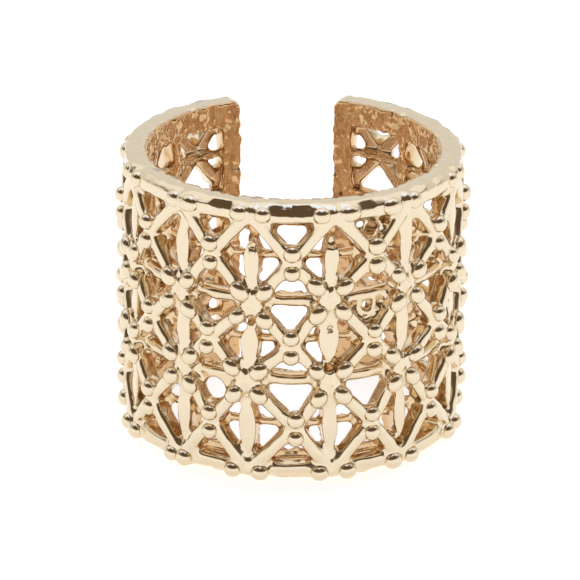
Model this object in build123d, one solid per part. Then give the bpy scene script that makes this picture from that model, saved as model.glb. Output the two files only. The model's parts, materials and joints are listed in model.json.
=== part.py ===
from build123d import *
from build123d.topology import SkipClean
from math import cos, degrees, hypot, radians, sin
import os

# An open cuff ring, cast in one piece: a wide pierced band whose two ends leave a gap at the back.
# Millimetres and degrees. The finger hole's axis is Z and the lower rim stands on z = 0.
# Angles go round from the front, where -Y is, towards +X. The gap is at the back, where +Y is.

# Finger hole and rims
FINGER_BORE = 17.5
RING_HEIGHT = 17.4
RIM_DEPTH = 1.4
RIM_HEIGHT = 1.1
RIM_ROUND = 0.35
LIP_HEIGHT = 0.45
LIP_DEPTH = 0.45

# Bays of the lattice. The hand-bent band is a little more open to the right of the front bay.
FRONT_TURN = -0.2
LEFT_BAYS = 6
LEFT_PITCH = 28.0
RIGHT_BAYS = 5
RIGHT_PITCH = 29.2
LOWER_TIER = 5.75
UPPER_TIER = 5.55

# Crossing straps, with a round back on a web whose foot stays clear of the bore
STRAP_WIDTH = 0.7
STRAP_DEPTH = 1.5
STRAP_FOOT = 0.55
STAR_MARGIN = 0.05
CROSSING_DIAMETER = 1.0
BOSS_PROUD = 0.07
STRAP_END_SETBACK = 0.15

# Uprights behind the leaves, and the bars between the tiers
UPRIGHT_WIDTH = 1.0
UPRIGHT_DEPTH = 0.6
BAR_HEIGHT = 0.72
BAR_DEPTH = 1.0
BAR_ROUND = 0.28

# Leaves on the uprights
LEAF_WIDTH = 0.95
LEAF_DEPTH = 1.3
LEAF_TIP_SETBACK = 0.2

# Beads
BEAD_DIAMETER = 0.96
BEAD_SUNK = 0.43
RIM_BEAD_SPREAD = 0.75
STAR_BEAD_SPREAD = 1.08
CROSS_BEAD_SPREAD = 0.6

# Plain strips, flush with the rims, that close the band at the gap
END_STRIP_WIDTH = 1.4
END_STRIP_ROUND = 0.45
END_CORNER = 0.5

# Worked out from the sizes above
bore_radius = FINGER_BORE / 2
strap_axis_radius = bore_radius + STRAP_DEPTH - STRAP_WIDTH / 2
star_diameter = UPRIGHT_WIDTH + 2 * STAR_MARGIN
bead_radius = bore_radius + STRAP_DEPTH + BEAD_DIAMETER / 2 - BEAD_SUNK
lower_line = RIM_HEIGHT / 2
upper_line = RING_HEIGHT - RIM_HEIGHT / 2
tier_lines = [lower_line, lower_line + LOWER_TIER, upper_line - UPPER_TIER, upper_line]
star_lines = tier_lines[1:-1]
tiers = list(zip(tier_lines[:-1], tier_lines[1:]))
reach = 2 * (STRAP_DEPTH + BEAD_DIAMETER + RIM_DEPTH)
up = Vector(0, 0, 1)


def outward(angle):
    """The level direction out of the finger hole at an angle from the front."""
    return Vector(sin(radians(angle)), -cos(radians(angle)), 0)


def at(radius, angle, z):
    """A point of the band."""
    return outward(angle) * radius + up * z


def round_the_hole(profile, angle_from, angle_to):
    """A level run of the band: a profile of radius and height, turned about the hole's axis."""
    start = Plane(origin=(0, 0, 0), x_dir=outward(angle_from), z_dir=outward(angle_from).cross(up))
    return revolve(start * profile, Axis.Z, angle_to - angle_from)


def rim(middle_height, half_angle):
    """One rim of a bay: flat above and below, with soft outer edges."""
    bar = RectangleRounded(2 * RIM_DEPTH, RIM_HEIGHT, RIM_ROUND)
    return round_the_hole(Pos(bore_radius, middle_height) * bar, -half_angle, half_angle)


def lip(low, high, half_angle):
    """The thin lip at the bore that makes a rim taller on the inside."""
    section = Pos(bore_radius, (low + high) / 2) * Rectangle(2 * LIP_DEPTH, high - low)
    return round_the_hole(section, -half_angle, half_angle)


def tier_bar(height, half_angle):
    """The bar behind a row of stars, with soft outer edges."""
    bar = RectangleRounded(2 * BAR_DEPTH, BAR_HEIGHT, BAR_ROUND)
    return round_the_hole(Pos(bore_radius, height) * bar, -half_angle, half_angle)


def strap(start, end, middle_angle):
    """Half of one crossing strap, from a star or a rim to the middle of the bay."""
    run = end - start
    along = run.normalized()
    first = start + along * STRAP_END_SETBACK
    across = Plane(origin=first, x_dir=outward(middle_angle), z_dir=along)
    web_depth = STRAP_DEPTH - STRAP_WIDTH / 2 - STRAP_FOOT
    web = Pos(-web_depth / 2, 0) * Rectangle(web_depth, STRAP_WIDTH)
    section = web + Circle(STRAP_WIDTH / 2)
    return extrude(across * section, amount=run.length - 2 * STRAP_END_SETBACK)


def upright(angle):
    """The flat upright that stands behind a column of leaves."""
    foot = Plane(origin=at(bore_radius, angle, lower_line), x_dir=outward(angle), z_dir=up)
    section = Rectangle(2 * UPRIGHT_DEPTH, UPRIGHT_WIDTH)
    return extrude(foot * section, amount=upper_line - lower_line)


def leaf(angle, z_from, z_to):
    """A flat-faced leaf with two pointed ends, which stand under a star or in a rim."""
    face_plane = Plane(origin=at(bore_radius, angle, (z_from + z_to) / 2), x_dir=up, z_dir=outward(angle))
    half_length = (z_to - z_from) / 2 - LEAF_TIP_SETBACK
    one_side = ThreePointArc((-half_length, 0), (0, LEAF_WIDTH / 2), (half_length, 0))
    other_side = ThreePointArc((half_length, 0), (0, -LEAF_WIDTH / 2), (-half_length, 0))
    return extrude(face_plane * make_face([one_side, other_side]), amount=LEAF_DEPTH)


def boss(angle, z, diameter, foot):
    """The round middle of a star or of a crossing, a little prouder than the straps that meet in it."""
    seat = Plane(origin=at(bore_radius + foot, angle, z), z_dir=outward(angle))
    height = STRAP_DEPTH + BOSS_PROUD - foot
    return seat * Cylinder(diameter / 2, height, align=(Align.CENTER, Align.CENTER, Align.MIN))


def bead(angle, z):
    """One bead, set a little into what carries it."""
    return Pos(*at(bead_radius, angle, z)) * Sphere(BEAD_DIAMETER / 2)


def angle_of(arc_length):
    """The angle that a length along the beads' circle spans."""
    return degrees(arc_length / bead_radius)


def cell(z_from, z_to, side):
    """The four half straps of one cell and the pair of beads that rides on their crossing."""
    z_middle = (z_from + z_to) / 2
    crossing = at(strap_axis_radius, 0, z_middle)
    pieces = [boss(0, z_middle, CROSSING_DIAMETER, STRAP_FOOT)]
    for turn in (-1, 1):
        for z in (z_from, z_to):
            pieces.append(strap(at(strap_axis_radius, turn * side, z), crossing, turn * side / 2))
    for step in (-CROSS_BEAD_SPREAD, CROSS_BEAD_SPREAD):
        pieces.append(bead(0, z_middle + step))
    return pieces


def column_beads(side):
    """The beads on this bay's side of its two columns: one by each rim, and two on the straps of a star."""
    pieces = []
    for turn in (-1, 1):
        for z in (lower_line, upper_line):
            pieces.append(bead(turn * (side - angle_of(RIM_BEAD_SPREAD)), z))
        for z_from, z_to in tiers:
            rise = (z_to - z_from) / 2
            level = radians(side) * bead_radius
            share = STAR_BEAD_SPREAD / hypot(rise, level)
            if z_from in star_lines:
                pieces.append(bead(turn * side * (1 - share), z_from + rise * share))
            if z_to in star_lines:
                pieces.append(bead(turn * side * (1 - share), z_to - rise * share))
    return pieces


def band_room(half_angle):
    """The room that the band may fill, from the bore outwards and from rim to rim."""
    section = Pos(bore_radius + reach / 2, RING_HEIGHT / 2) * Rectangle(reach, RING_HEIGHT)
    return round_the_hole(section, -half_angle, half_angle)


def bay(pitch):
    """One bay of the band at the front, from the middle of one column to the middle of the next."""
    side = pitch / 2
    pieces = [rim(lower_line, side), rim(upper_line, side)]
    pieces.append(lip(lower_line, RIM_HEIGHT + LIP_HEIGHT, side))
    pieces.append(lip(RING_HEIGHT - RIM_HEIGHT - LIP_HEIGHT, upper_line, side))
    for z in star_lines:
        pieces.append(tier_bar(z, side))
    for turn in (-1, 1):
        pieces.append(upright(turn * side))
        for z in star_lines:
            pieces.append(boss(turn * side, z, star_diameter, -star_diameter / 2))
        for z_from, z_to in tiers:
            pieces.append(leaf(turn * side, z_from, z_to))
    for z_from, z_to in tiers:
        pieces.extend(cell(z_from, z_to, side))
    pieces.extend(column_beads(side))
    return (pieces[0] + pieces[1:]) & band_room(side)


def end_strip():
    """The plain strip that closes one end, at the front: its outer edges and its corners are rounded."""
    foot = Plane(origin=(0, -bore_radius, 0), x_dir=outward(0), z_dir=up)
    plan = RectangleRounded(2 * RIM_DEPTH, END_STRIP_WIDTH, END_STRIP_ROUND)
    face_plane = Plane(origin=(0, 0, RING_HEIGHT / 2), x_dir=(1, 0, 0), z_dir=outward(0))
    outline = RectangleRounded(END_STRIP_WIDTH, RING_HEIGHT, END_CORNER)
    strip = extrude(foot * plan, amount=RING_HEIGHT) & extrude(face_plane * outline, amount=FINGER_BORE)
    return strip & band_room(2 * angle_of(END_STRIP_WIDTH))


def ring_band():
    """The whole ring: the left bays, of which the last is the front one, the right bays and two ends."""
    left_bay = bay(LEFT_PITCH)
    right_bay = bay(RIGHT_PITCH)
    first_right = FRONT_TURN + (LEFT_PITCH + RIGHT_PITCH) / 2
    pieces = []
    for index in range(LEFT_BAYS):
        pieces.append(Rot(0, 0, FRONT_TURN - index * LEFT_PITCH) * left_bay)
    for index in range(RIGHT_BAYS):
        pieces.append(Rot(0, 0, first_right + index * RIGHT_PITCH) * right_bay)
    left_end = FRONT_TURN - (LEFT_BAYS - 0.5) * LEFT_PITCH
    right_end = first_right + (RIGHT_BAYS - 0.5) * RIGHT_PITCH
    for angle in (left_end, right_end):
        pieces.append(Rot(0, 0, angle) * end_strip())
    # The faces stay parted at the columns: one bore face with every gap in it would be fragile
    with SkipClean():
        return pieces[0] + pieces[1:]


os.makedirs("parts", exist_ok=True)
export_step(ring_band(), "parts/ring_band.step")
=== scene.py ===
# %% [markdown]
# # A pierced cuff ring in rose gold
# The ring is one casting: two plain rims, and between them a lattice of crossing straps, flat leaves
# and small beads, with a plain strip at each end of an open back. A goldsmith carves such a band flat
# in wax and then bends it round a mandrel. This script goes the same way, because a flat band is easy
# to lay out and to measure: x runs along the band, y is its depth and z its height.

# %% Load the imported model
import json
import random
from math import cos, hypot, pi, radians, sin, sqrt

import bmesh
import bpy
from mathutils import Matrix, Vector


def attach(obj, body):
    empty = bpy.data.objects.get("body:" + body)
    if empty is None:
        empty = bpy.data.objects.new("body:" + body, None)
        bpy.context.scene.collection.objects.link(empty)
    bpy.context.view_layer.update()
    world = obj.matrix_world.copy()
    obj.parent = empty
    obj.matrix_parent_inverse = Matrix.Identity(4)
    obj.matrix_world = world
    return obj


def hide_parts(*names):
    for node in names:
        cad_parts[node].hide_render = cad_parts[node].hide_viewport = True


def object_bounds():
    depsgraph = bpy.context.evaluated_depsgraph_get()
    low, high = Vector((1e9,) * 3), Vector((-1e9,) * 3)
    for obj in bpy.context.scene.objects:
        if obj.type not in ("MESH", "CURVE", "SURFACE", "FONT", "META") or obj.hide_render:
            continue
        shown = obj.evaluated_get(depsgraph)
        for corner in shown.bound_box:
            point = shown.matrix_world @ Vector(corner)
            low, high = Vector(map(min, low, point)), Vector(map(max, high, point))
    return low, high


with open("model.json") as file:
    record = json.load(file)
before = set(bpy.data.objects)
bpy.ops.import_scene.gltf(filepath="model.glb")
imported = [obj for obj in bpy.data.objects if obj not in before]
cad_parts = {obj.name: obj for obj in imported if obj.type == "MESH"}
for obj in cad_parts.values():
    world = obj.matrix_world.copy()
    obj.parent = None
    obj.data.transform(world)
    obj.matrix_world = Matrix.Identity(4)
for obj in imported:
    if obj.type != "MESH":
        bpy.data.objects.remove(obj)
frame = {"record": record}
cad_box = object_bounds()
print("cad box, m:", [tuple(round(c, 5) for c in corner) for corner in cad_box])

# %% [markdown]
# ## Sizes
# The work is done in millimetres, which suits a jewel, and each piece is brought to metres when it is
# finished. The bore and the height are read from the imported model, so that the looks can't drift away
# from the part. Depths are measured outwards from the bore. Angles go round from the front, where -y
# is, towards +x.

# %% Driving sizes
MM = 0.001
BORE = next(m["dims"]["r_mm"] for m in frame["record"]["mounts"] if m["name"] == "finger_hole")
HEIGHT = (cad_box[1].z - cad_box[0].z) / MM
RIM_HEIGHT = 1.1
RIM_DEPTH = 1.4
STRAP_DEPTH = 1.6
FRONT_TURN = -0.2
LEFT_BAYS = 6
LEFT_PITCH = 28.0
RIGHT_BAYS = 5
RIGHT_PITCH = 29.2
LOWER_TIER = 5.75
UPPER_TIER = 5.55
END_STRIP_WIDTH = 1.4
MANDREL = BORE + STRAP_DEPTH
print("bore", BORE, "height", round(HEIGHT, 3))

# %% [markdown]
# The lattice is a grid of columns and rows. A row at the bottom and one at the top lie in the rims, and
# between two rows there is a tier. The last of the left bays is the one at the front.

# %% Lines of the lattice
lower_line = RIM_HEIGHT / 2
upper_line = HEIGHT - RIM_HEIGHT / 2
rows = [lower_line, lower_line + LOWER_TIER, upper_line - UPPER_TIER, upper_line]
left_angles = [FRONT_TURN - (i + 0.5) * LEFT_PITCH + LEFT_PITCH for i in range(LEFT_BAYS, -1, -1)]
right_angles = [FRONT_TURN + LEFT_PITCH / 2 + i * RIGHT_PITCH for i in range(1, RIGHT_BAYS + 1)]
columns = left_angles + right_angles
top_row = len(rows) - 1
tiers = range(top_row)
inner_rows = range(1, top_row)
bays = range(len(columns) - 1)
inner_columns = range(1, len(columns) - 1)
print("columns at", [round(a, 1) for a in columns])


def along(angle):
    """Where an angle round the hole falls on the flat band."""
    return radians(angle) * MANDREL


def deep(depth):
    """The y of a depth above the bore, with the strap's back at y = 0."""
    return STRAP_DEPTH - depth


# %% [markdown]
# ## The hand of the maker
# The real lattice was set out by eye. The stars and crossings that face the viewer are moved by the
# amounts that they show, in millimetres sideways and upwards. Elsewhere a small seeded slip does the
# same, so that no two bays are alike. The columns in front are called Z, A, B and C from left to right,
# and the front bay lies between A and B.

# %% Slips of the knots
FRONT_COLUMNS = {"Z": LEFT_BAYS - 2, "A": LEFT_BAYS - 1, "B": LEFT_BAYS, "C": LEFT_BAYS + 1}
KNOT_SLIPS = [
    # column, row, sideways, upwards
    ("Z", 2, -0.24, -0.19),
    ("A", 2, 0.18, -0.13),
    ("A", 1, -0.20, 0.0),
    ("B", 2, -0.24, 0.32),
    ("B", 1, -0.18, 0.0),
    ("C", 2, 0.0, 0.15),
    ("C", 1, 0.0, 0.26),
]
CROSSING_SLIPS = [
    # bay to the right of this column, tier, sideways, upwards
    ("A", 0, 0.32, 0.0),
    ("A", 1, 0.0, -0.15),
    ("A", 2, 0.0, -0.15),
]
SLIP = 0.1
hand = random.Random(11)
print("front columns", {name: round(columns[index], 1) for name, index in FRONT_COLUMNS.items()})


def noted(table, index, *where):
    """What a table notes for a place on one of the front columns, or None."""
    for name, *note in table:
        if FRONT_COLUMNS[name] == index and tuple(note[:len(where)]) == where:
            return note[len(where):]
    return None


def slips(table, index, level):
    """The slip that a table notes for a column and a row or tier, or else a small one of its own."""
    return noted(table, index, level) or (hand.uniform(-SLIP, SLIP), hand.uniform(-SLIP, SLIP))


# %% Places of the knots
stars = {}
for index, angle in enumerate(columns):
    for row, level in enumerate(rows):
        sideways, upwards = slips(KNOT_SLIPS, index, row) if row in inner_rows else (0, 0)
        stars[index, row] = Vector((along(angle) + sideways, 0, level + upwards))
crossings = {}
for index in bays:
    for tier in tiers:
        sideways, upwards = slips(CROSSING_SLIPS, index, tier)
        middle = (along(columns[index]) + along(columns[index + 1])) / 2
        level = (rows[tier] + rows[tier + 1]) / 2
        crossings[index, tier] = Vector((middle + sideways, 0, level + upwards))
print(len(stars), "knots and", len(crossings), "crossings")

# %% [markdown]
# Two whole columns, one on each side of the front, stand nearer to the middle than the grid says, and
# the crossings to the right of the second one hang lower or further in. They are pushed over here, and
# the uprights behind them go along.

# %% Pushed columns
PUSHED_KNOTS = [
    # column, row, sideways, upwards
    ("Z", 0, 0.45, 0.0),
    ("Z", 1, 0.48, 0.0),
    ("Z", 2, 0.60, 0.0),
    ("Z", 3, 0.50, 0.0),
    ("C", 0, -0.43, 0.0),
    ("C", 1, -0.56, 0.0),
    ("C", 2, -0.32, 0.2),
    ("C", 3, -0.20, 0.0),
]
PUSHED_CROSSINGS = [
    # bay to the right of this column, tier, sideways, upwards
    ("C", 0, -0.65, 0.12),
    ("C", 1, 0.20, -0.55),
]
pushed_over = {}
for name, row, sideways, upwards in PUSHED_KNOTS:
    index = FRONT_COLUMNS[name]
    stars[index, row] += Vector((sideways, 0, upwards))
    pushed_over[index] = pushed_over.get(index, 0) + sideways / len(rows)
for name, tier, sideways, upwards in PUSHED_CROSSINGS:
    crossings[FRONT_COLUMNS[name], tier] += Vector((sideways, 0, upwards))
print("pushed over by", {index: round(push, 2) for index, push in pushed_over.items()}, "mm")

# %% [markdown]
# ## Bench tools
# An operator acts on whatever is selected, so each step first selects its own piece and nothing else.
# Edges and points are then picked in code by where they lie, within a hundredth of a millimetre.

# %% Picking and settling
CLOSE = 0.01


def alone(piece):
    """Selects one piece and nothing else."""
    bpy.ops.object.select_all(action="DESELECT")
    piece.select_set(True)
    bpy.context.view_layer.objects.active = piece


def settle(piece):
    """Puts a piece's place, turn and scale into its mesh."""
    alone(piece)
    bpy.ops.object.transform_apply(location=True, rotation=True, scale=True)


def block(name, low, high):
    """A box between two corners."""
    low, high = Vector(low), Vector(high)
    bpy.ops.object.select_all(action="DESELECT")
    bpy.ops.mesh.primitive_cube_add(size=1, location=(low + high) / 2, scale=high - low)
    piece = bpy.context.active_object
    piece.name = name
    settle(piece)
    return piece


def open_shape(piece, kind):
    """Opens a piece in edit mode with nothing selected, and gives its shape."""
    alone(piece)
    bpy.ops.object.mode_set(mode="EDIT")
    bpy.ops.mesh.select_mode(type=kind)
    bpy.ops.mesh.select_all(action="DESELECT")
    return bmesh.from_edit_mesh(piece.data)


def choose_points(piece, chosen):
    """Opens a piece in edit mode with the points selected that pass a test of place."""
    shape = open_shape(piece, "VERT")
    for point in shape.verts:
        point.select_set(chosen(point.co))
    bmesh.update_edit_mesh(piece.data)


def round_edges(piece, chosen, size, segments):
    """Bevels the edges whose two ends both pass a test of place."""
    shape = open_shape(piece, "EDGE")
    for edge in shape.edges:
        edge.select_set(all(chosen(v.co) for v in edge.verts))
    bmesh.update_edit_mesh(piece.data)
    bpy.ops.mesh.bevel(offset=size, segments=segments, affect="EDGES")
    bpy.ops.object.mode_set(mode="OBJECT")


def at_front(depth):
    """A test of place for a front face that lies at a depth above the bore."""
    return lambda co: co.y < deep(depth) + CLOSE


# %% [markdown]
# ## Rims
# The rims are the ring's two stiff edges. Each ends in a narrow flat, on which the ring can stand, and
# falls away from it in a slope towards the outside, which shows the dark line of the studio in the
# photograph. The slope is broad in the front bay, smaller beside it except for one patch on each side,
# and slight at the back. So a rim is laid in stretches, as boxes with two different bevels. Inside, a
# thin lip makes each rim a little taller.

# %% Stretches of the rims
END_CORNER = 0.5
FRONT_BAY = LEFT_BAYS - 1
STRETCHES = [
    # bay, from and to as shares of it, height of the slope, depth as a share of the height
    (FRONT_BAY - 2, 0.0, 1.0, 0.3, 1.5),
    (FRONT_BAY - 1, 0.0, 0.5, 0.36, 1.5),
    (FRONT_BAY - 1, 0.5, 0.85, 0.5, 0.8),
    (FRONT_BAY - 1, 0.85, 1.0, 0.36, 1.5),
    (FRONT_BAY, 0.0, 1.0, 0.62, 0.8),
    (FRONT_BAY + 1, 0.0, 0.5, 0.52, 0.8),
    (FRONT_BAY + 1, 0.5, 1.0, 0.36, 1.5),
    (FRONT_BAY + 2, 0.0, 1.0, 0.3, 1.5),
]
BACK_SLOPE = 0.12
SOFT_EDGE = 0.25
left_edge = along(columns[0]) - END_STRIP_WIDTH / 2
right_edge = along(columns[-1]) + END_STRIP_WIDTH / 2
inner_ends = [along(columns[index]) for index in inner_columns]
rim_ends = [left_edge + END_CORNER] + inner_ends + [right_edge - END_CORNER]
front_bays = {stretch[0] for stretch in STRETCHES}
stretches = STRETCHES + [(bay, 0, 1, BACK_SLOPE, 1) for bay in bays if bay not in front_bays]
print("rims run from", round(left_edge, 2), "to", round(right_edge, 2), "in", len(stretches), "stretches")


def rim_stretch(start, end, low_z, sloped_z, slope, share):
    """A length of a rim, with a slope at one outer edge and a soft corner at the other."""
    bar = block("rim", (start, deep(RIM_DEPTH), low_z), (end, deep(0), low_z + RIM_HEIGHT))
    outer = at_front(RIM_DEPTH)
    other_z = low_z if sloped_z > low_z else low_z + RIM_HEIGHT
    round_edges(bar, lambda co: outer(co) and abs(co.z - sloped_z) < CLOSE, slope, 1)
    ridge = deep(RIM_DEPTH) + slope
    choose_points(bar, lambda co: abs(co.y - ridge) < CLOSE)
    bpy.ops.transform.translate(value=(0, slope * (share - 1), 0))
    bpy.ops.object.mode_set(mode="OBJECT")
    round_edges(bar, lambda co: outer(co) and abs(co.z - other_z) < CLOSE, SOFT_EDGE, 3)
    return bar


# %% Rims and their lips
LIP_HEIGHT = 0.45
LIP_DEPTH = 0.45
RIMS = [
    # foot of the rim, level of its sloped edge, foot of its lip
    (0, 0, RIM_HEIGHT),
    (HEIGHT - RIM_HEIGHT, HEIGHT, HEIGHT - RIM_HEIGHT - LIP_HEIGHT),
]
band_parts = []
for low_z, sloped_z, lip_z in RIMS:
    for bay, first, last, slope, share in stretches:
        start, length = rim_ends[bay], rim_ends[bay + 1] - rim_ends[bay]
        bar = rim_stretch(start + first * length, start + last * length, low_z, sloped_z, slope, share)
        band_parts.append(bar)
    lip = block("lip", (rim_ends[0], deep(LIP_DEPTH), lip_z), (rim_ends[-1], deep(0), lip_z + LIP_HEIGHT))
    band_parts.append(lip)
print("rims and lips are", len(band_parts), "boxes")

# %% [markdown]
# ## End strips
# A plain upright strip closes the lattice at each end of the opening, flush with the rims, so that
# nothing sharp meets the finger. Its corners are rounded in the plane of the band. Its width is filed
# down by a hair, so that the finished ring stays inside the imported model's box.

# %% End strips
STRIP_ROUND = 0.4
FILED_OFF = 0.01


def end_strip(name, middle, outside):
    """One strip. The outside is -1 for the left end of the flat band and 1 for the right end."""
    half = END_STRIP_WIDTH / 2 - FILED_OFF
    strip = block(name, (middle - half, deep(RIM_DEPTH), 0), (middle + half, deep(0), HEIGHT))
    edge = middle + outside * half
    for level in (0, HEIGHT):
        round_edges(strip, lambda co: hypot(co.x - edge, co.z - level) < CLOSE, END_CORNER, 5)
    round_edges(strip, at_front(RIM_DEPTH), STRIP_ROUND, 3)
    return strip


band_parts.append(end_strip("left_end", along(columns[0]), -1))
band_parts.append(end_strip("right_end", along(columns[-1]), 1))
print("end strips are", END_STRIP_WIDTH, "wide")

# %% [markdown]
# ## Uprights, bars and wires
# Behind the pattern runs a plain grid: a flat upright behind each column of leaves, a bar behind each
# row of stars, and a thin round wire half way between. The bar is flat on top, where it shows the
# brown inside of the ring, and rounded in front. It is the casting that runs them into one another.

# %% Uprights
UPRIGHT_WIDTH = 0.75
UPRIGHT_DEPTH = 0.45
UPRIGHT_ROUND = 0.12
for index in inner_columns:
    x = along(columns[index]) + pushed_over.get(index, 0)
    low = (x - UPRIGHT_WIDTH / 2, deep(UPRIGHT_DEPTH), lower_line)
    high = (x + UPRIGHT_WIDTH / 2, deep(0), upper_line)
    upright = block("upright", low, high)
    round_edges(upright, at_front(UPRIGHT_DEPTH), UPRIGHT_ROUND, 2)
    band_parts.append(upright)
print(len(inner_columns), "uprights")

# %% Bars behind the stars
BAR_HEIGHT = 0.74
BAR_DEPTH = 1.0
BAR_ROUND = 0.36
bar_from, bar_to = left_edge + END_CORNER, right_edge - END_CORNER
for row in inner_rows:
    low = (bar_from, deep(BAR_DEPTH), rows[row] - BAR_HEIGHT / 2)
    bar = block("bar", low, (bar_to, deep(0), rows[row] + BAR_HEIGHT / 2))
    round_edges(bar, at_front(BAR_DEPTH), BAR_ROUND, 3)
    band_parts.append(bar)
print(len(inner_rows), "bars")

# %% Wires half way between
WIRE_DIAMETER = 0.5
WIRE_MIDDLE_DEPTH = 0.4
for tier in tiers:
    level = (rows[tier] + rows[tier + 1]) / 2
    bpy.ops.object.select_all(action="DESELECT")
    bpy.ops.mesh.primitive_cylinder_add(
        vertices=24, radius=WIRE_DIAMETER / 2, depth=bar_to - bar_from,
        location=((bar_from + bar_to) / 2, deep(WIRE_MIDDLE_DEPTH), level), rotation=(0, pi / 2, 0),
    )
    settle(bpy.context.active_object)
    band_parts.append(bpy.context.active_object)
print(len(tiers), "wires")

# %% [markdown]
# Three openings beside the front bay came out round, with a raised edge: there the metal has run
# together. A ring laid in the opening gives the remesh that edge to keep.

# %% Round openings
ROUND_OPENINGS = [
    # angle, height, depth, diameter of the hole, thickness of its edge
    (28.2, 15.5, 1.0, 0.95, 0.28),
    (27.4, 10.7, 0.7, 0.7, 0.45),
    (-28.0, 5.25, 0.72, 1.4, 0.5),
]
for angle, level, depth, hole, edge in ROUND_OPENINGS:
    bpy.ops.object.select_all(action="DESELECT")
    bpy.ops.mesh.primitive_torus_add(
        major_radius=(hole + edge) / 2, minor_radius=edge / 2, major_segments=32, minor_segments=12,
        location=(along(angle), deep(depth), level), rotation=(pi / 2, 0, 0),
    )
    settle(bpy.context.active_object)
    band_parts.append(bpy.context.active_object)
print(len(ROUND_OPENINGS), "round openings")

# %% [markdown]
# ## Straps
# In each cell of the grid two straps cross. They lie on the grid, with a round back and a softened
# underside that stays clear of the finger. What repeats is modelled once, as a master. Its copies get
# meshes of their own and are laid where the lattice needs them. The strap's master is one unit long,
# and each copy is stretched from a knot to a crossing.

# %% Laying copies
def lay(master, place, stretch=(1, 1, 1), turn=0.0):
    """A copy of a master with a mesh of its own, turned in the plane of the band."""
    copy = master.copy()
    copy.data = master.data.copy()
    copy.matrix_world = (
        Matrix.Translation(place) @ Matrix.Rotation(turn, 4, "Y") @ Matrix.Diagonal((*stretch, 1))
    )
    bpy.context.scene.collection.objects.link(copy)
    return copy


def turn_onto(run, made_along):
    """The turn that lays a master along a run. It was made along a direction of x and z."""
    return -Vector((run.x, run.z)).angle_signed(Vector(made_along))


def discard(*masters):
    """Clears masters off the bench once their copies are laid."""
    for master in masters:
        bpy.data.objects.remove(master)


# %% Straps
STRAP_WIDTH = 0.8
STRAP_FOOT = 0.55
STRAP_ROUND = 0.3
UNDERSIDE_ROUND = 0.15
strap_low = (0, deep(STRAP_DEPTH), -STRAP_WIDTH / 2)
strap_master = block("strap", strap_low, (1, deep(STRAP_FOOT), STRAP_WIDTH / 2))
round_edges(strap_master, lambda co: co.y > deep(STRAP_FOOT) - CLOSE, UNDERSIDE_ROUND, 2)
round_edges(strap_master, at_front(STRAP_DEPTH), STRAP_ROUND, 4)


def corners(index, tier):
    """The four knots round a crossing, each as its column and row."""
    return (index, tier), (index + 1, tier), (index, tier + 1), (index + 1, tier + 1)


straps_laid = 0
for (index, tier), middle in crossings.items():
    for corner in corners(index, tier):
        run = middle - stars[corner]
        stretch = (run.length, 1, 1)
        band_parts.append(lay(strap_master, stars[corner], stretch, turn_onto(run, (1, 0))))
        straps_laid += 1
discard(strap_master)
print(straps_laid, "half straps")

# %% [markdown]
# ## Knots
# Where straps meet there is a low dome: wide in the stars, which stand on the grid, narrower in the
# rims, and small in the crossings, which hang free. Each is a squashed sphere.

# %% Domes
STAR_WIDTH = 1.3
CROSSING_WIDTH = 1.1
RIM_KNOT_WIDTH = 1.15
CROSSING_FOOT = 0.4
DOME_PROUD = 0.06


def dome(name, width, foot):
    """A dome that stands at a depth above the bore."""
    tall = STRAP_DEPTH + DOME_PROUD - foot
    bpy.ops.object.select_all(action="DESELECT")
    bpy.ops.mesh.primitive_uv_sphere_add(
        segments=24, ring_count=16, radius=1, location=(0, deep(foot + tall / 2), 0),
        rotation=(pi / 2, 0, 0), scale=(width / 2, width / 2, tall / 2),
    )
    piece = bpy.context.active_object
    piece.name = name
    settle(piece)
    return piece


star_master = dome("star", STAR_WIDTH, 0)
crossing_master = dome("crossing", CROSSING_WIDTH, CROSSING_FOOT)
for (index, row), place in stars.items():
    if index in inner_columns:
        widening = (STAR_WIDTH if row in inner_rows else RIM_KNOT_WIDTH) / STAR_WIDTH
        band_parts.append(lay(star_master, place, (widening, 1, widening)))
for place in crossings.values():
    band_parts.append(lay(crossing_master, place))
discard(star_master, crossing_master)
print(len(inner_columns) * len(rows) + len(crossings), "domes")

# %% [markdown]
# ## Leaves
# Between two stars of a column lies a flat leaf with two blunt tips. A leaf's outline is two arcs that
# meet, so it is made from a disc: a plane cuts a segment off it, and the segment and its mirror image
# overlap along the middle.

# %% Leaf master
LEAF_DEPTH = 1.35
CHORD = 0.5
LEAF_OVERLAP = 0.02
bpy.ops.object.select_all(action="DESELECT")
bpy.ops.mesh.primitive_cylinder_add(
    vertices=64, radius=1, depth=LEAF_DEPTH, location=(0, deep(LEAF_DEPTH / 2), 0),
    rotation=(pi / 2, 0, 0),
)
leaf_master = bpy.context.active_object
settle(leaf_master)
bpy.ops.object.mode_set(mode="EDIT")
bpy.ops.mesh.select_all(action="SELECT")
bpy.ops.mesh.bisect(plane_co=(CHORD, 0, 0), plane_no=(1, 0, 0), clear_inner=True, use_fill=True)
bpy.ops.mesh.select_all(action="SELECT")
bpy.ops.transform.translate(value=(-CHORD - LEAF_OVERLAP, 0, 0))
bpy.ops.mesh.duplicate()
bpy.ops.transform.mirror(constraint_axis=(True, False, False), center_override=(0, 0, 0))
bpy.ops.mesh.flip_normals()
bpy.ops.object.mode_set(mode="OBJECT")
leaf_half_width = 1 - CHORD - LEAF_OVERLAP
leaf_half_length = sqrt(1 - CHORD ** 2)
print("leaf master is", 2 * leaf_half_width, "by", round(2 * leaf_half_length, 3))

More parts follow.
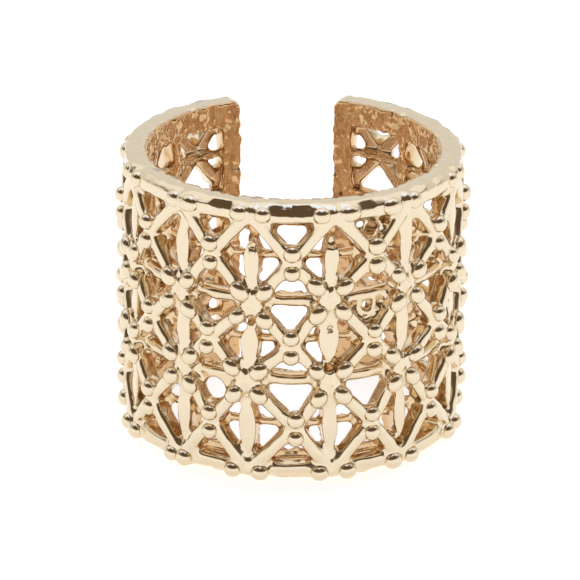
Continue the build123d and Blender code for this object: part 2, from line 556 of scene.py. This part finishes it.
# %% Leaves laid
LEAF_WIDTH = 0.98
LEAF_LENGTH = 3.6
WIDTH_SLIP = 0.06
LENGTH_SLIP = 0.3
FRONT_LEAVES = [
    # column, tier, length, width, upwards
    ("A", 0, 3.7, 1.08, -0.1),
    ("A", 1, 2.8, 1.12, -0.2),
    ("A", 2, 3.0, 1.0, -0.25),
    ("B", 0, 4.3, 0.95, 0.1),
    ("B", 1, 3.3, 1.25, 0.15),
    ("B", 2, 3.0, 0.92, -0.3),
    ("C", 2, 4.8, 0.95, 0.2),
]


def leaf_size(index, tier):
    """The length, width and rise of a leaf, from the table where it faces the viewer."""
    return noted(FRONT_LEAVES, index, tier) or (
        LEAF_LENGTH + hand.uniform(-LENGTH_SLIP, LENGTH_SLIP),
        LEAF_WIDTH + hand.uniform(-WIDTH_SLIP, WIDTH_SLIP),
        0.0,
    )


for index in inner_columns:
    for tier in tiers:
        foot, head = stars[index, tier], stars[index, tier + 1]
        length, width, upwards = leaf_size(index, tier)
        stretch = (width / 2 / leaf_half_width, 1, length / 2 / leaf_half_length)
        middle = (foot + head) / 2 + Vector((0, 0, upwards))
        band_parts.append(lay(leaf_master, middle, stretch, turn_onto(head - foot, (0, 1))))
discard(leaf_master)
print(len(inner_columns) * len(tiers), "leaves")

# %% [markdown]
# ## Where the beads go
# At each column a pair of small beads sits on either rim. Four stand round each star, and one above and
# one below each crossing. In the casting a bead isn't a loose ball: it grows out of a swelling of its
# strap. So the places are worked out first, and each gets a collar, a slightly larger ball set deeper,
# which becomes part of the band.

# %% Sizes of the beads
BEAD_DIAMETER = 0.96
BEAD_SUNK = 0.53
BEAD_LOWER = 0.03
NARROWEST, WIDEST = 1.03, 1.14
bead_level = STRAP_DEPTH + BEAD_DIAMETER / 2 - BEAD_SUNK
bead_places = []
print("bead middles stand", round(bead_level, 2), "mm above the bore")


def add_bead(place, depth, stretch, turn=0.0, wide=None):
    """Notes one bead: where it sits, how far out, how long it is along its strap and how wide."""
    wide = wide or hand.uniform(NARROWEST, WIDEST)
    bead_places.append((Vector((place.x, deep(depth), place.z)), (stretch * wide, 1, wide), turn))


# %% Beads on the rims
RIM_BEAD_SPREAD = 0.724
RIM_BEAD_WANDER = 0.04
RIM_BEAD_STRETCH = 1.1
RIM_BEAD_LONGER = 0.06
UPPER_BEAD_DROP = 0.08
UPPER_BEAD_LOWER = 0.26
RIM_BEAD_SLIPS = [
    # column, row, side, slip sideways, stretch
    ("Z", 3, 1, -0.3, 1.35),
    ("Z", 0, 1, -0.45, 1.1),
    ("B", 3, 1, 0.27, 1.4),
    ("C", 3, -1, -0.5, 1.35),
    ("C", 3, 1, -0.25, 1.1),
    ("A", 0, -1, -0.24, 1.1),
    ("B", 0, 1, 0.25, 1.1),
]
for index in range(len(columns)):
    for row, drop, lower in ((0, 0, BEAD_LOWER), (top_row, UPPER_BEAD_DROP, UPPER_BEAD_LOWER)):
        for side in (-1, 1):
            if 0 <= index + side < len(columns):
                slip = hand.uniform(-RIM_BEAD_WANDER, RIM_BEAD_WANDER)
                stretch = RIM_BEAD_STRETCH + hand.uniform(0, RIM_BEAD_LONGER)
                slip, stretch = noted(RIM_BEAD_SLIPS, index, row, side) or (slip, stretch)
                place = stars[index, row] + Vector((side * RIM_BEAD_SPREAD + slip, 0, -drop))
                add_bead(place, bead_level - lower, stretch)
print(len(bead_places), "beads on the rims")

# %% Beads round the stars and crossings
STAR_BEAD_SPREAD = 1.15
STAR_BEAD_WANDER = 0.05
STAR_BEAD_STRETCH = 1.24
STAR_BEAD_LONGER = 0.08
CROSS_BEAD_SPREAD = 0.6
CROSS_BEAD_WANDER = 0.04
CROSS_BEAD_STRETCH = 1.04
WIDE_PAIRS = [
    # bay to the right of this column, tier, width
    ("B", 2, 1.22),
]
for (index, tier), middle in crossings.items():
    for corner in corners(index, tier):
        if corner[1] in inner_rows:
            run = middle - stars[corner]
            away = STAR_BEAD_SPREAD + hand.uniform(-STAR_BEAD_WANDER, STAR_BEAD_WANDER)
            stretch = STAR_BEAD_STRETCH + hand.uniform(-STAR_BEAD_LONGER, STAR_BEAD_LONGER)
            place = stars[corner] + run.normalized() * away
            add_bead(place, bead_level - BEAD_LOWER, stretch, turn_onto(run, (1, 0)))
    pair = noted(WIDE_PAIRS, index, tier)
    wide = pair[0] if pair else None
    for step in (-CROSS_BEAD_SPREAD, CROSS_BEAD_SPREAD):
        place = middle + Vector((hand.uniform(-CROSS_BEAD_WANDER, CROSS_BEAD_WANDER), 0, step))
        add_bead(place, bead_level - BEAD_LOWER, CROSS_BEAD_STRETCH, 0.0, wide)
print(len(bead_places), "beads in all")


# %% Collars
def ball(name, diameter):
    """A ball whose poles lie in front and behind."""
    bpy.ops.object.select_all(action="DESELECT")
    bpy.ops.mesh.primitive_uv_sphere_add(
        segments=20, ring_count=12, radius=diameter / 2, rotation=(pi / 2, 0, 0))
    piece = bpy.context.active_object
    piece.name = name
    settle(piece)
    return piece


COLLAR_DIAMETER = 0.98
COLLAR_SET_BACK = 0.2
collar_master = ball("collar", COLLAR_DIAMETER)
for place, stretch, turn in bead_places:
    band_parts.append(lay(collar_master, place + Vector((0, COLLAR_SET_BACK, 0)), stretch, turn))
discard(collar_master)
print("collars", COLLAR_DIAMETER, "mm")

# %% [markdown]
# ## Casting the band
# Now the parts become one casting. They are joined, and a voxel remesh wraps them in a single skin. To
# fill the corners as molten metal does, the skin is swollen, wrapped again and shrunk back, which
# leaves a fillet of about that size, and a few rounds of smoothing soften it.

# %% Joining and modifiers
def join(pieces, name):
    """Joins pieces into one with its place in its mesh."""
    bpy.ops.object.select_all(action="DESELECT")
    for piece in pieces:
        piece.select_set(True)
    bpy.context.view_layer.objects.active = pieces[0]
    bpy.ops.object.join()
    whole = bpy.context.active_object
    whole.name = whole.data.name = name
    settle(whole)
    return whole


def shape_by(piece, kind, **settings):
    """Adds a modifier, sets it and applies it."""
    alone(piece)
    modifier = piece.modifiers.new(kind.title(), kind)
    for name, value in settings.items():
        setattr(modifier, name, value)
    bpy.ops.object.modifier_apply(modifier=modifier.name)


def soften(piece, rounds):
    """Smooths a piece, a few rounds over."""
    shape_by(piece, "SMOOTH", factor=0.5, iterations=rounds)


# %% One skin
VOXEL = 0.07
FILLET = 0.15
band = join(band_parts, "band")
shape_by(band, "REMESH", mode="VOXEL", voxel_size=VOXEL, use_smooth_shade=True)
shape_by(band, "DISPLACE", strength=FILLET, mid_level=0)
shape_by(band, "REMESH", mode="VOXEL", voxel_size=VOXEL, use_smooth_shade=True)
soften(band, 3)
shape_by(band, "DISPLACE", strength=-FILLET, mid_level=0)
soften(band, 3)
print("skin has", len(band.data.polygons), "faces")

# %% [markdown]
# ## Hand-filed and cast surfaces
# Slow waves keep the surfaces from being machine straight. Inside, where no tool reached, the casting
# has stayed lumpy, and its small humps are what glint there. The rims show the strokes of a file. Each
# of these is a noise that pushes the skin in and out, and a vertex group holds the points that the
# lumps and the strokes may move.

# %% Uneven surface
UNEVEN = 0.18
LUMPY = 0.42
LUMPY_BELOW = 0.35


def roughen(piece, name, size, strength, group=""):
    """Pushes the skin in and out by a cloudy noise, within a vertex group if one is named."""
    noise = bpy.data.textures.new(name, "CLOUDS")
    noise.noise_scale = size
    shape_by(piece, "DISPLACE", texture=noise, strength=strength, mid_level=0.5, texture_coords="LOCAL",
             vertex_group=group)


def gather(piece, name, chosen):
    """Puts the points that pass a test of place into a vertex group."""
    group = piece.vertex_groups.new(name=name)
    group.add([v.index for v in piece.data.vertices if chosen(v.co)], 1.0, "REPLACE")


roughen(band, "hand_filed", 1.3, UNEVEN)
gather(band, "inside", lambda co: co.y > deep(LUMPY_BELOW))
roughen(band, "cast_lumps", 0.6, LUMPY, "inside")
soften(band, 1)
print("waves of", UNEVEN, "and lumps of", LUMPY, "mm")

# %% Rims filed by hand
FILED_RIM = 0.75
STROKES = 0.1
gather(band, "rims", lambda co: min(co.z, HEIGHT - co.z) < FILED_RIM and co.y < deep(LIP_DEPTH))
roughen(band, "file_strokes", 0.9, STROKES, "rims")
soften(band, 2)
print("rims uneven by", STROKES, "mm")

# %% [markdown]
# The lower edge is what the ring stands on. Both edges are flattened last, as on a flat stone, which
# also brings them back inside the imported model's height.

# %% File the edges flat
def flatten_beyond(piece, level, above):
    """Brings the points beyond a level back to it, as a file does."""
    choose_points(piece, lambda co: (co.z > level) == above)
    bpy.ops.transform.resize(value=(1, 1, 0), center_override=(0, 0, level))
    bpy.ops.object.mode_set(mode="OBJECT")


flatten_beyond(band, FILED_OFF, False)
flatten_beyond(band, HEIGHT - FILED_OFF, True)
print("filed flat at both ends")

# %% [markdown]
# ## Casting pits
# A few small pits show as dark specks on the leaves. Each is pressed in by moving one point of the skin
# inwards, and its neighbours follow it by proportional editing.

# %% Pits
PITS = [
    # angle, height, radius, depth
    (-13.6, 14.9, 0.28, 0.3),
    (13.2, 15.25, 0.42, 0.45),
    (13.0, 9.8, 0.22, 0.28),
]
for angle, level, radius, depth in PITS:
    shape = open_shape(band, "VERT")
    near = [v for v in shape.verts if hypot(v.co.x - along(angle), v.co.z - level) < radius / 2]
    min(near, key=lambda v: v.co.y).select_set(True)
    bmesh.update_edit_mesh(band.data)
    bpy.ops.transform.translate(value=(0, depth, 0), use_proportional_edit=True,
                                proportional_edit_falloff="SPHERE", proportional_size=radius)
    bpy.ops.object.mode_set(mode="OBJECT")
print(len(PITS), "pits")

# %% [markdown]
# ## Beads
# The beads stay a piece of their own, because the roundest surfaces need the cleanest faces.

# %% Beads in place
bead_master = ball("bead", BEAD_DIAMETER)
beads = join([lay(bead_master, *place) for place in bead_places], "beads")
discard(bead_master)
print(len(bead_places), "beads")

# %% [markdown]
# ## Bending
# The flat band is bent round the mandrel. The Bend modifier turns by an angle over a piece's whole
# length, so the angle is the length divided by the mandrel's radius, and the ring's middle comes out
# one radius behind the band.

# %% Bend the band and its beads
def bend(piece):
    """Rolls a flat piece round the mandrel and brings the hole's axis to the origin."""
    ends = [vertex.co.x for vertex in piece.data.vertices]
    angle = (max(ends) - min(ends)) / MANDREL
    shape_by(piece, "SIMPLE_DEFORM", deform_method="BEND", deform_axis="Z", angle=angle)
    piece.location.y = -MANDREL
    settle(piece)


for piece in (band, beads):
    bend(piece)
radii = [hypot(v.co.x, v.co.y) for v in band.data.vertices]
print("band from", round(min(radii), 2), "to", round(max(radii), 2), "mm from the axis")

# %% [markdown]
# ## Fewer faces
# The skin has far more faces than it needs. Decimate thins it where it is flat and keeps them where
# it curves. The normals of the full skin are carried over, so polished metal still reflects smoothly.

# %% Thin the band
MOST_TRIANGLES = 190000


def triangles(piece):
    """How many triangles a piece has."""
    return sum(len(face.vertices) - 2 for face in piece.data.polygons)


fine_band = band.copy()
fine_band.data = band.data.copy()
bpy.context.scene.collection.objects.link(fine_band)
if triangles(fine_band) > MOST_TRIANGLES:
    ratio = MOST_TRIANGLES / triangles(fine_band)
    shape_by(band, "DECIMATE", decimate_type="COLLAPSE", ratio=ratio)
for piece in (band, beads):
    alone(piece)
    bpy.ops.object.shade_smooth()
shape_by(band, "DATA_TRANSFER", object=fine_band, use_loop_data=True, data_types_loops={"CUSTOM_NORMAL"},
         loop_mapping="POLYINTERP_NEAREST")
print(triangles(fine_band), "triangles thinned to", triangles(band))
bpy.data.objects.remove(fine_band)

# %% Bring the pieces to metres
for piece in (band, beads):
    piece.scale = (MM, MM, MM)
    settle(piece)
    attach(piece, "root")
    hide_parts("ring_band")
print("pieces:", band.name, beads.name)

# %% [markdown]
# ## Rose gold
# The metal is polished outside and only tumbled inside, where it looks browner. A metal has no colour
# of its own apart from the tint of what it reflects, so the material is one Principled shader with a
# tint that deepens towards the bore, and a roughness and bump that grow there. The deeper, redder tint
# is partly the tumbled finish and partly painted shade: the darkening of the hollows inside the band,
# and of the sides of its bars and straps, is painted into the colour. One mask says where the metal is
# polished and free of painted shade, and all three follow it.

# %% Nodes that the finishes share
def soft_step(tree, value, start, end):
    """A mask that goes softly from 0 to 1 while a value goes from start to end."""
    mask = tree.nodes.new("ShaderNodeMapRange")
    mask.interpolation_type = "SMOOTHSTEP"
    mask.inputs["From Min"].default_value = start
    mask.inputs["From Max"].default_value = end
    tree.links.new(value, mask.inputs["Value"])
    return mask.outputs["Result"]


def between(tree, mask, low, high):
    """A number that is low where a mask is 0 and high where it is 1."""
    number = tree.nodes.new("ShaderNodeMapRange")
    number.inputs["To Min"].default_value = low
    number.inputs["To Max"].default_value = high
    tree.links.new(mask, number.inputs["Value"])
    return number.outputs["Result"]


def combine(tree, operation, first, second):
    """Two numbers worked into one, such as by MULTIPLY or MAXIMUM."""
    both = tree.nodes.new("ShaderNodeMath")
    both.operation = operation
    tree.links.new(first, both.inputs[0])
    tree.links.new(second, both.inputs[1])
    return both.outputs["Value"]


def coat(tree, below, mask, light):
    """Paints a colour over what is below, where the mask says."""
    mixer = tree.nodes.new("ShaderNodeMix")
    mixer.data_type = "RGBA"
    mixer.inputs["B"].default_value = (*light, 1)
    if isinstance(below, tuple):
        mixer.inputs["A"].default_value = (*below, 1)
    else:
        tree.links.new(below, mixer.inputs["A"])
    tree.links.new(mask, mixer.inputs["Factor"])
    return mixer.outputs["Result"]


# %% Where the metal is polished, and where shade is painted
UNSHADED_POLISH_BEGINS = 0.1
UNSHADED_POLISH_FULL = 1.3
POLISHED_TOP = 0.45
POLISHED_FROM = 0.12


def polish_and_shade_mask(tree, place):
    """1 where the metal is polished and free of painted shade: well outside the bore, and on the filed
    top of the upper rim. It falls to 0 at the bore, where the shade is painted.
    """
    flat = tree.nodes.new("ShaderNodeVectorMath")
    flat.operation = "MULTIPLY"
    flat.inputs[1].default_value = (1, 1, 0)
    tree.links.new(place, flat.inputs[0])
    length = tree.nodes.new("ShaderNodeVectorMath")
    length.operation = "LENGTH"
    tree.links.new(flat.outputs["Vector"], length.inputs[0])
    radius = length.outputs["Value"]
    height_above = tree.nodes.new("ShaderNodeSeparateXYZ")
    tree.links.new(place, height_above.inputs["Vector"])
    level = height_above.outputs["Z"]
    outward = soft_step(tree, radius, (BORE + UNSHADED_POLISH_BEGINS) * MM, (BORE + UNSHADED_POLISH_FULL) * MM)
    off_bore = soft_step(tree, radius, (BORE + POLISHED_FROM) * MM, (BORE + 2 * POLISHED_FROM) * MM)
    top = soft_step(tree, level, (HEIGHT - POLISHED_TOP) * MM, (HEIGHT - POLISHED_TOP / 2) * MM)
    return combine(tree, "MAXIMUM", outward, combine(tree, "MULTIPLY", top, off_bore))


# %% Rose gold material
# The inside tint is darker and redder than the outside: partly the tumbled finish, and partly painted
# shade of the hollows.
OUTSIDE_TINT = (0.80, 0.675, 0.485)
INSIDE_TINT_AND_SHADE = (0.7, 0.455, 0.23)
OUTSIDE_ROUGHNESS = 0.16
INSIDE_ROUGHNESS = 0.2
OUTSIDE_GRAIN = 0.06
INSIDE_GRAIN = 1.0
GRAIN_SCALE = 1000
GRAIN_DETAIL = 3
GRAIN_STRENGTH = 0.6
GRAIN_DEPTH = 0.12


def rose_gold(name):
    """Polished outside and on the filed rim, softer towards the bore, and darker and redder there: partly
    its tumbled finish, partly painted shade.
    """
    material = bpy.data.materials.new(name)
    material.use_nodes = True
    tree = material.node_tree
    shader = tree.nodes["Principled BSDF"]
    shader.inputs["Metallic"].default_value = 1.0
    place = tree.nodes.new("ShaderNodeTexCoord").outputs["Object"]
    polished_unshaded = polish_and_shade_mask(tree, place)
    # The colour darkens and reddens towards the bore: partly the tumbled finish, partly painted shade.
    tree.links.new(coat(tree, INSIDE_TINT_AND_SHADE, polished_unshaded, OUTSIDE_TINT), shader.inputs["Base Color"])
    roughness = between(tree, polished_unshaded, INSIDE_ROUGHNESS, OUTSIDE_ROUGHNESS)
    tree.links.new(roughness, shader.inputs["Roughness"])
    grain = tree.nodes.new("ShaderNodeTexNoise")
    grain.inputs["Scale"].default_value = GRAIN_SCALE
    grain.inputs["Detail"].default_value = GRAIN_DETAIL
    tree.links.new(place, grain.inputs["Vector"])
    coarseness = between(tree, polished_unshaded, INSIDE_GRAIN, OUTSIDE_GRAIN)
    bump = tree.nodes.new("ShaderNodeBump")
    bump.inputs["Strength"].default_value = GRAIN_STRENGTH
    bump.inputs["Distance"].default_value = GRAIN_DEPTH * MM
    tree.links.new(combine(tree, "MULTIPLY", grain.outputs["Fac"], coarseness), bump.inputs["Height"])
    tree.links.new(bump.outputs["Normal"], shader.inputs["Normal"])
    return material


gold = rose_gold("rose_gold")
for piece in (band, beads):
    piece.data.materials.clear()
    piece.data.materials.append(gold)
print("material", gold.name)

# %% [markdown]
# ## Studio
# Polished metal shows the studio. The photograph's beads are small mirrors of it: white all round and
# overhead, with the dark side of the room above the camera. The world is painted to match, by
# direction, and the floor is a plain pale sheet that is nearly as white as the backdrop.

# %% Directions in the studio
world = bpy.data.worlds.new("studio")
bpy.context.scene.world = world
world.use_nodes = True
studio = world.node_tree
direction = studio.nodes.new("ShaderNodeTexCoord")
split = studio.nodes.new("ShaderNodeSeparateXYZ")
studio.links.new(direction.outputs["Generated"], split.inputs["Vector"])


def rising(start, end):
    """A mask that goes from 0 to 1 between two angles above the horizon."""
    return soft_step(studio, split.outputs["Z"], sin(radians(start)), sin(radians(end)))


def where_all(first, second, third):
    """A mask that holds where three others do."""
    return combine(studio, "MULTIPLY", combine(studio, "MULTIPLY", first, second), third)


in_front = soft_step(studio, split.outputs["Y"], 0.2, -0.15)
beside = soft_step(studio, split.outputs["Y"], 0.55, 0.35)
low = rising(42, 32)
ceiling = rising(62, 74)
above_camera = rising(18, 28)
below_side = rising(40, 28)
below_ceiling = rising(78, 70)
print("directions ready")

# %% Light of the studio
WALLS = (1.1, 1.1, 1.1)
BEHIND = (0.84, 0.84, 0.83)
FRONT = (1.12, 1.12, 1.12)
CEILING = (1.15, 1.35, 1.8)
ROOM = (0.12, 0.08, 0.048)
BACKDROP = (1.0, 1.0, 1.0)
paint = coat(studio, WALLS, low, BEHIND)
paint = coat(studio, paint, in_front, FRONT)
paint = coat(studio, paint, ceiling, CEILING)
paint = coat(studio, paint, where_all(above_camera, below_side, beside), ROOM)
paint = coat(studio, paint, where_all(above_camera, below_ceiling, in_front), ROOM)
camera_ray = studio.nodes.new("ShaderNodeLightPath").outputs["Is Camera Ray"]
paint = coat(studio, paint, camera_ray, BACKDROP)
studio.links.new(paint, studio.nodes["Background"].inputs["Color"])
print("world painted")

# %% Floor
FLOOR_SIZE = 2.0
PAPER_COLOUR = (0.8, 0.8, 0.8, 1)
PAPER_ROUGHNESS = 0.9
PAPER_GLOSS = 0.1
PAPER_GLOW = 0.66
bpy.ops.object.select_all(action="DESELECT")
bpy.ops.mesh.primitive_plane_add(size=FLOOR_SIZE)
floor = bpy.context.active_object
floor.name = "floor"
paper = bpy.data.materials.new("white_paper")
paper.use_nodes = True
paper_shader = paper.node_tree.nodes["Principled BSDF"]
paper_shader.inputs["Base Color"].default_value = PAPER_COLOUR
paper_shader.inputs["Roughness"].default_value = PAPER_ROUGHNESS
paper_shader.inputs["Specular IOR Level"].default_value = PAPER_GLOSS
paper_shader.inputs["Emission Color"].default_value = (1, 1, 1, 1)
paper_shader.inputs["Emission Strength"].default_value = PAPER_GLOW
floor.data.materials.append(paper)
print("floor laid")

# %% [markdown]
# ## Camera
# The photograph is taken with a long lens from a little above. The place comes from fitting a camera
# to the ring's rims and knots. It looks at the middle of the ring, from straight in front, and rolls a
# touch to one side.

# %% Camera
CAMERA_DISTANCE = 230.05
CAMERA_ELEVATION = 22.15
CAMERA_ROLL = 0.55
TARGET_HEIGHT = 8.7
FOCAL_PIXELS = 3776
PICTURE_PIXELS = 580
PICTURE_MIDDLE = (292.1, 280.8)
SENSOR_WIDTH = 36
lens = bpy.data.cameras.new("camera")
camera = bpy.data.objects.new("camera", lens)
bpy.context.scene.collection.objects.link(camera)
bpy.context.scene.camera = camera
lens.sensor_width = SENSOR_WIDTH
lens.lens = FOCAL_PIXELS / PICTURE_PIXELS * SENSOR_WIDTH
lens.shift_x = (PICTURE_PIXELS / 2 - PICTURE_MIDDLE[0]) / PICTURE_PIXELS
lens.shift_y = (PICTURE_MIDDLE[1] - PICTURE_PIXELS / 2) / PICTURE_PIXELS
lens.clip_start = 0.01
back = Vector((0, -cos(radians(CAMERA_ELEVATION)), sin(radians(CAMERA_ELEVATION))))
roll = Matrix.Rotation(radians(CAMERA_ROLL), 4, "Z").to_quaternion()
camera.location = (Vector((0, 0, TARGET_HEIGHT)) + back * CAMERA_DISTANCE) * MM
camera.rotation_mode = "QUATERNION"
camera.rotation_quaternion = (-back).to_track_quat("-Z", "Y") @ roll
bpy.context.scene.view_settings.view_transform = "Standard"
bpy.context.scene.cycles.use_denoising = True
print("camera at", tuple(round(c, 4) for c in camera.location))
